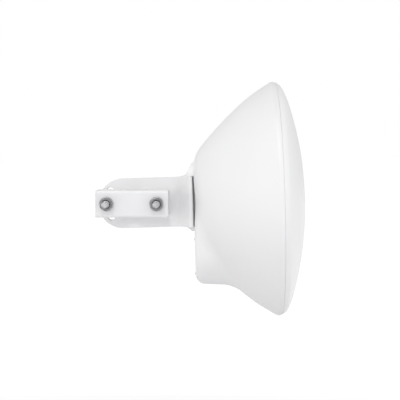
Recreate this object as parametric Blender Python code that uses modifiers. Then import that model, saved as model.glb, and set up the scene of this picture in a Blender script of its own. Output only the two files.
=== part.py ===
"""Outdoor wireless bridge: a dish radio on a tilting arm, held by a two-jaw pole clamp.

The pole runs along Z and its axis passes through the origin, at the height of the clamp bolts.
The dish looks along +X. The head (arm, housing, dish and electronics) tilts about the pivot bolt,
which runs along Y. Inside the head frame, x is the distance from the pivot bolt along the dish's
axis, y is the distance from the dish's centre plane and z is up.
"""

import math

import bmesh
import bpy

MM = 0.001

# Clamp
BOLT_SPACING = 55.0 * MM
BOLT_RADIUS = 4.0 * MM
BOLT_HOLE_RADIUS = 4.45 * MM
BOLT_END_Y = -49.1 * MM
JAW_HALF_LENGTH = 40.0 * MM
JAW_HALF_HEIGHT = 15.0 * MM
JAW_SHEET = 2.7 * MM
JAW_FLANGE_EDGE = 10.0 * MM
JAW_WEB_FACE = 23.7 * MM
JAW_BEND = 3.5 * MM
JAW_V_APEX = 19.6 * MM
JAW_V_HALF_ANGLE = math.radians(60.0)
JAW_TEETH = 6
JAW_TOOTH_DEPTH = 1.0 * MM
HEX_ACROSS_FLATS = 13.0 * MM
BOLT_HEAD_HEIGHT = 5.3 * MM
NUT_HEIGHT = 6.5 * MM
FLAT_WASHER = (8.0 * MM, 1.6 * MM)
SPRING_WASHER = (6.9 * MM, 2.1 * MM)
WASHER_HOLE_RADIUS = 4.4 * MM
GAP = 0.3 * MM

# Arm and tilt
PIVOT_X = BOLT_SPACING / 2
HEAD_CENTRE_Y = 29.0 * MM
TILT = math.radians(1.7)
ARM_HALF_HEIGHT = 28.3 * MM
ARM_HALF_THICKNESS = 5.0 * MM
ARM_END_CENTRE = -39.5 * MM
ARM_FLARE = (
    (13.0, 5.0), (17.5, 5.7), (22.0, 8.3), (26.0, 12.8), (29.5, 18.6), (32.8, 24.0), (35.2, 27.6),
    (37.2, 29.0), (39.0, 28.6), (39.7, 27.4),
)
ARM_FRONT = 39.7 * MM
SLOT_HALF_WIDTH = 4.4 * MM
SLOT_HALF_ANGLE = math.radians(15.0)
BASE_HALF_WIDTH = 24.0 * MM
BASE_BACK = 34.6 * MM
BASE_TOP = 43.0 * MM
BASE_BOTTOM = -33.4 * MM
BASE_NOSE = ((40.1, 43.0), (37.1, 39.9), (35.2, 37.7), (34.3, 35.4), (32.2, 30.9), (29.8, 29.4))
BASE_LOBE = ((31.5, -28.8), (35.0, -30.5), (37.5, -32.9), (40.1, -33.4))
BASE_NECK = 15.0 * MM

# Housing: a paraboloid bowl r^2 = BOWL_4F (x - BOWL_VERTEX) with a compartment on its lower back
BOWL_4F = 169.0 * MM
BOWL_VERTEX = 27.4 * MM
BOWL_EDGE_RADIUS = 131.36 * MM
RIM_ROUND = 5.9 * MM
RIM_FRONT = 135.7 * MM
RIM_INNER_RADIUS = 129.6 * MM
HOUSING_BACK = 40.4 * MM
BOWL_BACK = 40.8 * MM
WALL = 2.6 * MM
TURN_STEPS = 40
BAY_HALF_WIDTH = 50.5 * MM
BAY_TOP = 6.0 * MM
BAY_BOTTOM = -95.5 * MM
BAY_CORNER = 38.0 * MM
BAY_BACK_ROUND = 8.0 * MM
BAY_FRONT = 90.0 * MM

# Radome: arcs from the apex outwards, each (radius, angle of the outward normal where it ends)
RADOME_APEX = 166.0 * MM
RADOME_ARCS = (
    (372.0 * MM, math.radians(16.88), 5),
    (103.6 * MM, math.radians(27.0), 2),
    (13.8 * MM, math.radians(68.0), 3),
)
RADOME_WALL = 2.5 * MM
SPIGOT_OUTER = 126.9 * MM
SPIGOT_INNER = 124.9 * MM
SPIGOT_BACK = 129.0 * MM
SEAL_RING = (128.25 * MM, 1.0 * MM, 133.0 * MM)

# Reflector and feed
REFLECTOR_BACK_INSET = 3.4 * MM
REFLECTOR_SHEET = 1.2 * MM
REFLECTOR_RIM = 128.3 * MM
REFLECTOR_FLOOR = 64.6 * MM
REFLECTOR_HOLE = 7.0 * MM
FEED_SCREW_RADIUS = 9.8 * MM
FEED_FLANGE_BACK = REFLECTOR_FLOOR + REFLECTOR_SHEET + GAP
FEED_FLANGE = 2.0 * MM

# Electronics
BOARD_BACK = 60.0 * MM
BOARD_THICKNESS = 1.6 * MM
BOARD_HALF_WIDTH = 42.0 * MM
BOARD_LOW = -73.0 * MM
BOARD_HIGH = 46.0 * MM
BOARD_SCREWS = ((-35.5, 35.5), (35.5, 35.5), (-37.5, -48.0), (37.5, -48.0))
BASE_SCREWS = ((-10.0, 18.0), (10.0, 18.0), (-10.0, -18.0), (10.0, -18.0))
BASE_SCREW_HEAD = (3.5 * MM, 3.0 * MM)
BASE_SCREW_SHANK = (2.0 * MM, 14.2 * MM)
BOARD_SCREW_HEAD = (3.0 * MM, 2.0 * MM)
BOARD_SCREW_SHANK = (1.5 * MM, 8.5 * MM)
FEED_SCREW_HEAD = (2.2 * MM, 1.6 * MM)
FEED_SCREW_SHANK = (1.1 * MM, 6.0 * MM)
JACK_HALF_WIDTH = 8.0 * MM
JACK_BACK = 47.3 * MM
JACK_LOW = -58.5 * MM
JACK_HIGH = -37.0 * MM
SWITCH_PLACE = (20.0 * MM, -68.0 * MM)
LIGHT_PIPES = (16.0 * MM, 22.0 * MM, 28.0 * MM)
LIGHT_PIPE_Z = -44.9 * MM

# Port bay and door
DOOR_HALF_WIDTH = 30.6 * MM
DOOR_HINGE_X = 41.75 * MM
DOOR_HINGE_Z = -51.3 * MM
DOOR_BARREL = 1.3 * MM
DOOR_PIN = 0.6 * MM
DOOR_LOW = -84.0 * MM
DOOR_OPENING = (31.0 * MM, -84.4 * MM, -49.4 * MM)
LINER_HALF_WIDTH = 30.0 * MM
LINER_LOW = -83.0 * MM
LINER_HIGH = -54.2 * MM
LINER_BACK = 44.8 * MM
LINER_FRONT = 59.1 * MM
LINER_WALL = 1.4 * MM
CABLE_X = 52.0 * MM
CABLE_HOLE_RADIUS = 3.5 * MM

# Rotations that lay a flat outline in a plane, and turn a Z axis to X or Y
SIDE_VIEW = (math.pi / 2, 0.0, 0.0)
TOP_VIEW = (0.0, 0.0, 0.0)
BACK_VIEW = (math.pi / 2, 0.0, math.pi / 2)
Z_TO_X = (0.0, math.pi / 2, 0.0)
Z_TO_Y = (-math.pi / 2, 0.0, 0.0)
Z_TO_MINUS_Y = (math.pi / 2, 0.0, 0.0)


# ---------------------------------------------------------------- scene and materials


def clear_scene():
    for obj in list(bpy.data.objects):
        bpy.data.objects.remove(obj)


def new_collection(name):
    collection = bpy.data.collections.new(name)
    bpy.context.scene.collection.children.link(collection)
    return collection


def principled(name, colour, roughness, metallic=0.0):
    """A plain Principled material of this colour."""
    material = bpy.data.materials.new(name)
    material.use_nodes = True
    shader = material.node_tree.nodes["Principled BSDF"]
    shader.inputs["Base Color"].default_value = (*colour, 1.0)
    shader.inputs["Roughness"].default_value = roughness
    shader.inputs["Metallic"].default_value = metallic
    return material


def look(name, kind):
    """The piece's own material, in one of the finishes that the object has."""
    colour, roughness, metallic = {
        "white_plastic": ((0.86, 0.86, 0.87), 0.45, 0.0),
        "white_coat": ((0.84, 0.84, 0.85), 0.5, 0.0),
        "steel": ((0.55, 0.55, 0.56), 0.35, 1.0),
        "aluminium": ((0.75, 0.76, 0.78), 0.35, 1.0),
        "black_rubber": ((0.03, 0.03, 0.03), 0.7, 0.0),
        "board_green": ((0.03, 0.16, 0.08), 0.5, 0.0),
        "clear_plastic": ((0.8, 0.82, 0.85), 0.2, 0.0),
        "dark_plastic": ((0.06, 0.06, 0.07), 0.5, 0.0),
        "grey_pad": ((0.35, 0.37, 0.4), 0.9, 0.0),
    }[kind]
    return principled(name + "_" + kind, colour, roughness, metallic)


# ---------------------------------------------------------------- objects


def place(obj, parent, location, rotation):
    obj.location = location
    obj.rotation_euler = rotation
    obj.parent = parent


def add_piece(name, mesh, kind, parent=None, location=(0, 0, 0), rotation=TOP_VIEW):
    """A visible part in the parts collection, shaded smooth up to its sharp edges."""
    obj = bpy.data.objects.new(name, mesh)
    PARTS.objects.link(obj)
    place(obj, parent, location, rotation)
    mesh.materials.append(look(name, kind))
    if mesh.polygons:
        mesh.shade_smooth()
        mesh.set_sharp_from_angle(angle=math.radians(35))
    return obj


def add_cutter(mesh, parent=None, location=(0, 0, 0), rotation=TOP_VIEW):
    """A helper solid for a Boolean, which isn't part of the object."""
    obj = bpy.data.objects.new("cutter", mesh)
    CUTTERS.objects.link(obj)
    place(obj, parent, location, rotation)
    obj.hide_render = True
    obj.display_type = "WIRE"
    return obj


def boolean(target, operation, *others, solver="EXACT"):
    for other in others:
        modifier = target.modifiers.new(operation.lower(), "BOOLEAN")
        modifier.operation = operation
        modifier.solver = solver
        modifier.object = other
    return target


def cut(target, *cutters, solver="EXACT"):
    return boolean(target, "DIFFERENCE", *cutters, solver=solver)


def join(target, *others):
    return boolean(target, "UNION", *others)


def common(target, *others):
    return boolean(target, "INTERSECT", *others)


# ---------------------------------------------------------------- meshes


def mesh_from(bm, name):
    mesh = bpy.data.meshes.new(name)
    bm.to_mesh(mesh)
    bm.free()
    return mesh


def block_mesh(low, high):
    """A box between two corners."""
    bm = bmesh.new()
    bmesh.ops.create_cube(bm, size=1.0)
    for vertex in bm.verts:
        vertex.co = [a + (c + 0.5) * (b - a) for a, b, c in zip(low, high, vertex.co)]
    return mesh_from(bm, "block")


def rod_mesh(radius, start, end, sides=24, end_radius=None):
    """A cylinder or cone along Z from start to end."""
    bm = bmesh.new()
    bmesh.ops.create_cone(
        bm,
        cap_ends=True,
        segments=sides,
        radius1=radius,
        radius2=radius if end_radius is None else end_radius,
        depth=end - start,
    )
    bmesh.ops.translate(bm, verts=bm.verts, vec=(0, 0, (start + end) / 2))
    return mesh_from(bm, "rod")


def hexagon_mesh(start, end):
    """A hexagonal prism along Z with the fasteners' width across flats."""
    return rod_mesh(HEX_ACROSS_FLATS / 2 / math.cos(math.pi / 6), start, end, sides=6)


def flat_mesh(points, low, high):
    """A closed flat outline in XY, extruded from low to high along Z."""
    curve = bpy.data.curves.new("outline", "CURVE")
    curve.dimensions = "2D"
    curve.fill_mode = "BOTH"
    curve.extrude = (high - low) / 2
    spline = curve.splines.new("POLY")
    spline.points.add(len(points) - 1)
    for point, (x, y) in zip(spline.points, points):
        point.co = (x, y, 0.0, 1.0)
    spline.use_cyclic_u = True
    guide = bpy.data.objects.new("outline", curve)
    CUTTERS.objects.link(guide)
    graph = bpy.context.evaluated_depsgraph_get()
    mesh = bpy.data.meshes.new_from_object(guide.evaluated_get(graph))
    bpy.data.objects.remove(guide)
    bm = bmesh.new()
    bm.from_mesh(mesh)
    bmesh.ops.remove_doubles(bm, verts=bm.verts, dist=0.002 * MM)
    bmesh.ops.translate(bm, verts=bm.verts, vec=(0, 0, (low + high) / 2))
    bmesh.ops.recalc_face_normals(bm, faces=bm.faces)
    bm.to_mesh(mesh)
    bm.free()
    return mesh


def turned_mesh(profile, closed=False):
    """A profile of (x, r) points as edges for a Screw about Z: r lies along X and x along Z."""
    count = len(profile)
    edges = [(i, i + 1) for i in range(count - 1)]
    if closed:
        edges.append((count - 1, 0))
    mesh = bpy.data.meshes.new("profile")
    mesh.from_pydata([(r, 0.0, x) for x, r in profile], edges, [])
    return mesh


def spin(obj, steps=TURN_STEPS):
    """Turns the object's profile about its Z axis."""
    screw = obj.modifiers.new("turn", "SCREW")
    screw.axis = "Z"
    screw.steps = steps
    screw.render_steps = steps
    screw.use_merge_vertices = True
    screw.merge_threshold = 0.00001
    screw.use_smooth_shade = True
    return obj


def arc(centre, radius, start, end, steps):
    """Points on an arc from one angle to another, in degrees, both ends included."""
    angles = [math.radians(start + (end - start) * i / steps) for i in range(steps + 1)]
    return [
        (centre[0] + radius * math.cos(a), centre[1] + radius * math.sin(a))
        for a in angles
    ]


def rounded_outline(half_width, low, high, low_round, high_round, steps=5):
    """A rectangle centred on x = 0 with one rounding for its lower and one for its upper corners."""
    w = half_width
    return (
        arc((-w + low_round, low + low_round), low_round, 180, 270, steps)
        + arc((w - low_round, low + low_round), low_round, 270, 360, steps)
        + arc((w - high_round, high - high_round), high_round, 0, 90, steps)
        + arc((-w + high_round, high - high_round), high_round, 90, 180, steps)
    )


# ---------------------------------------------------------------- pole clamp


def jaw_profile():
    """The folded channel's section in (y, z): web on the outside, flanges towards the pole."""
    outer_y = JAW_WEB_FACE - JAW_BEND
    outer_z = JAW_HALF_HEIGHT - JAW_BEND
    inner = JAW_BEND - JAW_SHEET
    upper = [
        (JAW_FLANGE_EDGE, JAW_HALF_HEIGHT - JAW_SHEET),
        *arc((outer_y, outer_z), inner, 90, 0, 2),
    ]
    lower = [(y, -z) for y, z in reversed(upper)]
    outer_low = arc((outer_y, -outer_z), JAW_BEND, -90, 0, 4)
    outer_high = arc((outer_y, outer_z), JAW_BEND, 0, 90, 4)
    edge = [(JAW_FLANGE_EDGE, -JAW_HALF_HEIGHT)]
    return upper + lower + edge + outer_low + outer_high + [(JAW_FLANGE_EDGE, JAW_HALF_HEIGHT)]


def jaw_notch():
    """The toothed V that both flanges take, in (x, y), running past the flanges' edges."""
    along = (math.sin(JAW_V_HALF_ANGLE), -math.cos(JAW_V_HALF_ANGLE))
    length = (JAW_V_APEX - JAW_FLANGE_EDGE + 2.0 * MM) / math.cos(JAW_V_HALF_ANGLE)
    side = []
    for tooth in range(JAW_TEETH):
        for share, depth in ((0.0, 0.0), (0.5, JAW_TOOTH_DEPTH)):
            reach = length * (tooth + share) / JAW_TEETH
            side.append(
                (
                    along[0] * reach - along[1] * depth,
                    JAW_V_APEX + along[1] * reach + along[0] * depth,
                )
            )
    side.append((along[0] * length, JAW_V_APEX + along[1] * length))
    return [(-x, y) for x, y in reversed(side[1:])] + side


def make_jaw(name, side):
    """One jaw: side is 1 behind the pole and -1 in front of it."""
    section = [(side * y, z) for y, z in jaw_profile()]
    jaw = add_piece(
        name,
        flat_mesh(section, -JAW_HALF_LENGTH, JAW_HALF_LENGTH),
        "white_coat",
        rotation=BACK_VIEW,
    )
    notch = add_cutter(
        flat_mesh([(x, side * y) for x, y in jaw_notch()], -20 * MM, 20 * MM)
    )
    cut(jaw, notch)
    for x in (-PIVOT_X, PIVOT_X):
        hole = rod_mesh(BOLT_HOLE_RADIUS, 15 * MM, 30 * MM)
        turn = Z_TO_Y if side > 0 else Z_TO_MINUS_Y
        cut(jaw, add_cutter(hole, location=(x, 0, 0), rotation=turn))
    return jaw


def ring(name, size, hole_radius, start, x, kind="steel"):
    """A washer on a clamp bolt, reaching from start towards -Y."""
    radius, thickness = size
    washer = add_piece(
        name, rod_mesh(radius, 0, thickness), kind, None, (x, start, 0), Z_TO_MINUS_Y
    )
    hole = rod_mesh(hole_radius, -MM, thickness + MM)
    return cut(washer, add_cutter(hole, None, (x, start, 0), Z_TO_MINUS_Y))


def make_clamp_fasteners():
    """The pivot bolt and the slot bolt, each with its washers and nut."""
    arm_far = HEAD_CENTRE_Y + ARM_HALF_THICKNESS
    flat = FLAT_WASHER[1]
    lock = SPRING_WASHER[1]
    for label, x in (("pivot", PIVOT_X), ("slot", -PIVOT_X)):
        ring(label + "_bolt_washer", FLAT_WASHER, WASHER_HOLE_RADIUS, arm_far + GAP + flat, x)
        under_head = arm_far + 2 * GAP + flat
        bolt = add_piece(
            label + "_bolt",
            rod_mesh(BOLT_RADIUS, 0, under_head - BOLT_END_Y + MM),
            "steel",
            None,
            (x, under_head + MM, 0),
            Z_TO_MINUS_Y,
        )
        head = hexagon_mesh(0, BOLT_HEAD_HEIGHT)
        join(bolt, add_cutter(head, None, (x, under_head, 0), Z_TO_Y))

        web = -JAW_WEB_FACE
        ring(label + "_flat_washer", FLAT_WASHER, WASHER_HOLE_RADIUS, web - GAP, x)
        lock_start = web - 2 * GAP - flat
        washer = ring(label + "_spring_washer", SPRING_WASHER, WASHER_HOLE_RADIUS, lock_start, x)
        split = block_mesh((-0.6 * MM, 0, -MM), (0.6 * MM, 12 * MM, lock + MM))
        cut(washer, add_cutter(split, None, (x, lock_start, 0), Z_TO_MINUS_Y))
        nut_start = lock_start - lock - GAP
        nut = add_piece(
            label + "_nut",
            hexagon_mesh(0, NUT_HEIGHT),
            "steel",
            None,
            (x, nut_start, 0),
            Z_TO_MINUS_Y,
        )
        thread = rod_mesh(WASHER_HOLE_RADIUS, -MM, NUT_HEIGHT + MM)
        cut(nut, add_cutter(thread, None, (x, nut_start, 0), Z_TO_MINUS_Y))


# ---------------------------------------------------------------- arm and mount base


def arm_side_outline():
    end = arc((ARM_END_CENTRE, 0), ARM_HALF_HEIGHT, 90, 270, 16)
    return end + [(ARM_FRONT, -ARM_HALF_HEIGHT), (ARM_FRONT, ARM_HALF_HEIGHT)]


def arm_top_outline():
    """A flat bar that opens like a trumpet towards the dish."""
    half = [(-70 * MM, ARM_HALF_THICKNESS)] + [(x * MM, y * MM) for x, y in ARM_FLARE]
    return half + [(x, -y) for x, y in reversed(half)]


def slot_outline():
    """The curved slot around the pivot bolt, on the side away from the dish."""
    half = math.degrees(SLOT_HALF_ANGLE)
    outer = arc((0, 0), BOLT_SPACING + SLOT_HALF_WIDTH, 180 - half, 180 + half, 10)
    inner = arc((0, 0), BOLT_SPACING - SLOT_HALF_WIDTH, 180 + half, 180 - half, 10)
    low = (
        -BOLT_SPACING * math.cos(SLOT_HALF_ANGLE),
        -BOLT_SPACING * math.sin(SLOT_HALF_ANGLE),
    )
    low_cap = arc(low, SLOT_HALF_WIDTH, 180 + half, 360 + half, 8)
    high_cap = arc((low[0], -low[1]), SLOT_HALF_WIDTH, -half, 180 - half, 8)
    return outer + low_cap[1:-1] + inner + high_cap[1:-1]


def make_arm():
    arm = add_piece(
        "arm",
        flat_mesh(arm_side_outline(), -40 * MM, 40 * MM),
        "white_coat",
        HEAD,
        rotation=SIDE_VIEW,
    )
    common(arm, add_cutter(flat_mesh(arm_top_outline(), -40 * MM, 40 * MM), HEAD))
    slot = flat_mesh(slot_outline(), -10 * MM, 10 * MM)
    cut(arm, add_cutter(slot, HEAD, rotation=SIDE_VIEW))
    pivot_hole = rod_mesh(BOLT_HOLE_RADIUS, -10 * MM, 10 * MM)
    cut(arm, add_cutter(pivot_hole, HEAD, rotation=SIDE_VIEW))
    pocket = block_mesh(
        (BASE_BACK - GAP, -BASE_HALF_WIDTH - GAP, -40 * MM),
        (45 * MM, BASE_HALF_WIDTH + GAP, 40 * MM),
    )
    cut(arm, add_cutter(pocket, HEAD))
    for y, z in BASE_SCREWS:
        hole = rod_mesh(2.3 * MM, 29.0 * MM, 36 * MM, sides=12)
        cut(arm, add_cutter(hole, HEAD, (0, y * MM, z * MM), Z_TO_X))
    return arm


def base_side_outline():
    """Above the arm a nose runs back over it; below, a small lobe closes the gap."""
    over_arm = ARM_HALF_HEIGHT + GAP
    under_arm = -over_arm
    nose = [(x * MM, z * MM) for x, z in BASE_NOSE]
    nose += [(27.0 * MM, over_arm), (BASE_BACK, over_arm)]
    lobe = [(BASE_BACK, under_arm), (31.5 * MM, under_arm)]
    lobe += [(x * MM, z * MM) for x, z in BASE_LOBE]
    return nose + lobe


def make_mount_base():
    base = add_piece(
        "mount_base",
        flat_mesh(base_side_outline(), -30 * MM, 30 * MM),
        "white_coat",
        HEAD,
        rotation=SIDE_VIEW,
    )
    face = rounded_outline(BASE_HALF_WIDTH, BASE_BOTTOM, BASE_TOP, 12 * MM, 18 * MM)
    common(base, add_cutter(flat_mesh(face, 20 * MM, 41 * MM), HEAD, rotation=BACK_VIEW))
    plan = [(41 * MM, 24 * MM), (34.6 * MM, 24 * MM), (26 * MM, 12 * MM)]
    plan += [(x, -y) for x, y in reversed(plan)]
    common(base, add_cutter(flat_mesh(plan, -50 * MM, 50 * MM), HEAD))
    for near, far in ((BASE_NECK, 30 * MM), (-30 * MM, -BASE_NECK)):
        rebate = block_mesh((37.6 * MM, near, -ARM_HALF_HEIGHT), (45 * MM, far, ARM_HALF_HEIGHT))
        cut(base, add_cutter(rebate, HEAD))
    for y, z in BASE_SCREWS:
        hole = rod_mesh(2.3 * MM, 30 * MM, 45 * MM, sides=12)
        cut(base, add_cutter(hole, HEAD, (0, y * MM, z * MM), Z_TO_X))
    return base


def make_screw(name, place_at, head_size, shank_size):
    """A screw along the dish's axis: the head starts at x and the shank runs back from it."""
    x, y, z = place_at
    head_radius, head_height = head_size
    radius, length = shank_size
    shank = rod_mesh(radius, x - length, x + head_height / 2, sides=12)
    screw = add_piece(name, shank, "steel", HEAD, (0, y, z), Z_TO_X)
    head = rod_mesh(head_radius, x, x + head_height, sides=16)
    return join(screw, add_cutter(head, HEAD, (0, y, z), Z_TO_X))


# ---------------------------------------------------------------- housing, radome, reflector


def bowl_point(radius, inset):
    """The point at this depth under the bowl's outer surface, as (x, r)."""
    slope = 2 * radius / BOWL_4F
    norm = math.hypot(1, slope)
    x = BOWL_VERTEX + radius * radius / BOWL_4F
    return (x + inset / norm, radius - inset * slope / norm)


def bowl_radius_at(x, inset):
    """The outer surface's radius whose inset point lies at this x."""
    low, high = 0.0, BOWL_EDGE_RADIUS
    for _ in range(40):
        middle = (low + high) / 2
        if bowl_point(middle, inset)[0] < x:
            low = middle
        else:
            high = middle
    return high


def bowl_curve(start_x, end_radius, inset, steps):
    """Points of the inset bowl from start_x out to the point under end_radius."""
    start = bowl_radius_at(start_x, inset)
    return [
        bowl_point(start + (end_radius - start) * i / steps, inset)
        for i in range(steps + 1)
    ]


def housing_profile():
    """The bowl as a solid: across its front, round the rim and down the outside to the back."""
    slope = 2 * BOWL_EDGE_RADIUS / BOWL_4F
    back_angle = -math.asin(1 / math.hypot(1, slope))
    centre_x, centre_r = bowl_point(BOWL_EDGE_RADIUS, RIM_ROUND)
    front_angle = math.asin((RIM_FRONT - centre_x) / RIM_ROUND)
    rim = [front_angle + (back_angle - front_angle) * i / 4 for i in range(5)]
    outer = [
        (centre_x + RIM_ROUND * math.sin(a), centre_r + RIM_ROUND * math.cos(a)) for a in rim
    ]
    outer += bowl_curve(BOWL_BACK, BOWL_EDGE_RADIUS, 0, 9)[-2::-1]
    return [(RIM_FRONT, 0.0)] + outer + [(BOWL_BACK, 0.0)]


def hollow_profile():
    """The plug that hollows the bowl: straight behind the rim, then the bowl's wall inside it."""
    front = RIM_FRONT + 5 * MM
    inner = bowl_curve(BOWL_BACK + WALL, BOWL_EDGE_RADIUS - MM, WALL, 8)
    mouth = [(front, 0.0), (front, RIM_INNER_RADIUS), (132.5 * MM, RIM_INNER_RADIUS)]
    return mouth + inner[::-1] + [(BOWL_BACK + WALL, 0.0)]


def bay_mesh(inset, front):
    """The compartment on the lower back, its back edge rounded over."""
    outline = rounded_outline(
        BAY_HALF_WIDTH - inset,
        BAY_BOTTOM + inset,
        BAY_TOP,
        BAY_CORNER - inset,
        BAY_CORNER - inset,
    )
    back = HOUSING_BACK + inset
    mesh = flat_mesh(outline, back, front)
    bm = bmesh.new()
    bm.from_mesh(mesh)
    rim = [
        e for e in bm.edges
        if all(abs(v.co.z - back) < 0.01 * MM for v in e.verts)
        and len(e.link_faces) == 2
        and e.calc_face_angle(0) > 1.0
    ]
    bmesh.ops.bevel(
        bm, geom=rim, offset=BAY_BACK_ROUND - inset, segments=3, profile=0.5, affect="EDGES"
    )
    bm.to_mesh(mesh)
    bm.free()
    return mesh


def make_housing():
    housing = add_piece(
        "rear_housing", turned_mesh(housing_profile()), "white_plastic", HEAD, rotation=Z_TO_X
    )
    spin(housing)
    outer_bay = add_cutter(bay_mesh(0, BAY_FRONT), HEAD, rotation=BACK_VIEW)
    join(housing, outer_bay)
    inner_bay = add_cutter(bay_mesh(WALL, BAY_FRONT - 6 * MM), HEAD, rotation=BACK_VIEW)
    plug = add_cutter(turned_mesh(hollow_profile()), HEAD, rotation=Z_TO_X)
    spin(plug)
    cut(housing, inner_bay, plug)

    for y, z in BOARD_SCREWS:
        start = 46.5 * MM if z > 0 else HOUSING_BACK + WALL / 2
        boss = rod_mesh(4.0 * MM, start, BOARD_BACK - GAP, sides=16)
        join(housing, add_cutter(boss, HEAD, (0, y * MM, z * MM), Z_TO_X))
    for y, z in BOARD_SCREWS:
        hole = rod_mesh(1.8 * MM, 52 * MM, 62 * MM, sides=12)
        cut(housing, add_cutter(hole, HEAD, (0, y * MM, z * MM), Z_TO_X))
    for y, z in BASE_SCREWS:
        hole = rod_mesh(2.3 * MM, 38 * MM, 46 * MM, sides=12)
        cut(housing, add_cutter(hole, HEAD, (0, y * MM, z * MM), Z_TO_X), solver="MANIFOLD")

    half_width, low, high = DOOR_OPENING
    opening = block_mesh((36 * MM, -half_width, low), (43.6 * MM, half_width, high))
    pin_hole = rod_mesh(0.8 * MM, -34.3 * MM, 34.3 * MM, sides=12)
    pin_place = (DOOR_HINGE_X, 0, DOOR_HINGE_Z)
    cut(
        housing,
        add_cutter(opening, HEAD),
        add_cutter(pin_hole, HEAD, pin_place, Z_TO_Y),
        solver="MANIFOLD",
    )
    for y in LIGHT_PIPES:
        hole = rod_mesh(1.5 * MM, 36 * MM, 46 * MM, sides=12)
        cut(housing, add_cutter(hole, HEAD, (0, y, LIGHT_PIPE_Z), Z_TO_X), solver="MANIFOLD")
    cable = flat_mesh(oval_outline(8.3 * MM, 5.0 * MM), -105 * MM, -88 * MM)
    cut(housing, add_cutter(cable, HEAD), solver="MANIFOLD")
    return housing


def radome_arcs(inset):
    """The dome's outer profile, or the one at this depth under it, from the apex to the rim."""
    centre_x, centre_r = RADOME_APEX - RADOME_ARCS[0][0], 0.0
    angle = 0.0
    points = [(RADOME_APEX - inset, 0.0)]
    for index, (radius, end, steps) in enumerate(RADOME_ARCS):
        if index:
            step = RADOME_ARCS[index - 1][0] - radius
            centre_x += step * math.cos(angle)
            centre_r += step * math.sin(angle)
        for i in range(1, steps + 1):
            a = angle + (end - angle) * i / steps
            reach = radius - inset
            points.append((centre_x + reach * math.cos(a), centre_r + reach * math.sin(a)))
        angle = end
    return points


def make_radome():
    outer = radome_arcs(0)
    seam = outer[-1][0]
    inner = [p for p in radome_arcs(RADOME_WALL) if p[1] < SPIGOT_INNER - 2 * MM]
    spigot = [
        (seam, SPIGOT_OUTER),
        (SPIGOT_BACK, SPIGOT_OUTER),
        (SPIGOT_BACK, SPIGOT_INNER),
        (seam + 4.2 * MM, SPIGOT_INNER),
    ]
    profile = outer + spigot + inner[::-1]
    radome = add_piece("radome", turned_mesh(profile), "white_plastic", HEAD, rotation=Z_TO_X)
    return spin(radome)


def make_radome_seal():
    radius, section, x = SEAL_RING
    circle = arc((x, radius), section, 0, 300, 5)
    seal = add_piece(
        "radome_seal", turned_mesh(circle, closed=True), "black_rubber", HEAD, rotation=Z_TO_X
    )
    return spin(seal)


def make_reflector():
    front_inset = REFLECTOR_BACK_INSET + REFLECTOR_SHEET
    back = bowl_curve(REFLECTOR_FLOOR, REFLECTOR_RIM, REFLECTOR_BACK_INSET, 7)
    floor_front = REFLECTOR_FLOOR + REFLECTOR_SHEET
    front = bowl_curve(floor_front, REFLECTOR_RIM, front_inset, 7)
    holes = [(REFLECTOR_FLOOR, REFLECTOR_HOLE), (floor_front, REFLECTOR_HOLE)]
    profile = back[::-1] + holes + front
    reflector = add_piece(
        "reflector", turned_mesh(profile, closed=True), "aluminium", HEAD, rotation=Z_TO_X
    )
    spin(reflector)
    for y, z in feed_screw_places():
        hole = rod_mesh(1.4 * MM, 60 * MM, 70 * MM, sides=12)
        cut(reflector, add_cutter(hole, HEAD, (0, y, z), Z_TO_X))
    return reflector


def feed_screw_places():
    angles = [math.radians(45 + 90 * i) for i in range(4)]
    return [(FEED_SCREW_RADIUS * math.cos(a), FEED_SCREW_RADIUS * math.sin(a)) for a in angles]


def make_feed():
    """The waveguide tube, the plastic cone in its mouth and the small plate in front."""
    flange_front = FEED_FLANGE_BACK + FEED_FLANGE
    outer, tail, inner = 5.5 * MM, 5.8 * MM, 4.0 * MM
    tube_profile = [
        (78.0 * MM, outer),
        (flange_front, outer),
        (flange_front, 13.0 * MM),
        (FEED_FLANGE_BACK, 13.0 * MM),
        (FEED_FLANGE_BACK, tail),
        (61.9 * MM, tail),
        (61.9 * MM, inner),
        (78.0 * MM, inner),
    ]
    tube = add_piece(
        "feed_tube",
        turned_mesh(tube_profile, closed=True),
        "aluminium",
        HEAD,
        rotation=Z_TO_X,
    )
    spin(tube, 24)
    for y, z in feed_screw_places():
        hole = rod_mesh(1.4 * MM, 64 * MM, 70 * MM, sides=12)
        cut(tube, add_cutter(hole, HEAD, (0, y, z), Z_TO_X))
    cone_profile = [(92.0, 0.0), (92.0, 14.0), (78.3, 5.4), (78.3, 3.7), (74.0, 3.7), (74.0, 0.0)]
    cone = add_piece(
        "feed_cone",
        turned_mesh([(x * MM, r * MM) for x, r in cone_profile]),
        "white_plastic",
        HEAD,
        rotation=Z_TO_X,
    )
    spin(cone, 24)
    plate_profile = [(94.8, 0.0), (94.3, 14.0), (93.5, 15.0), (92.3, 15.0), (92.3, 0.0)]
    plate = add_piece(
        "sub_reflector",
        turned_mesh([(x * MM, r * MM) for x, r in plate_profile]),
        "aluminium",
        HEAD,
        rotation=Z_TO_X,
    )
    spin(plate, 24)


# ---------------------------------------------------------------- electronics


def head_block(name, kind, x, y, z):
    """A box piece in the head, from (low, high) pairs in millimetres."""
    low = [pair[0] * MM for pair in (x, y, z)]
    high = [pair[1] * MM for pair in (x, y, z)]
    return add_piece(name, block_mesh(low, high), kind, HEAD)


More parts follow.
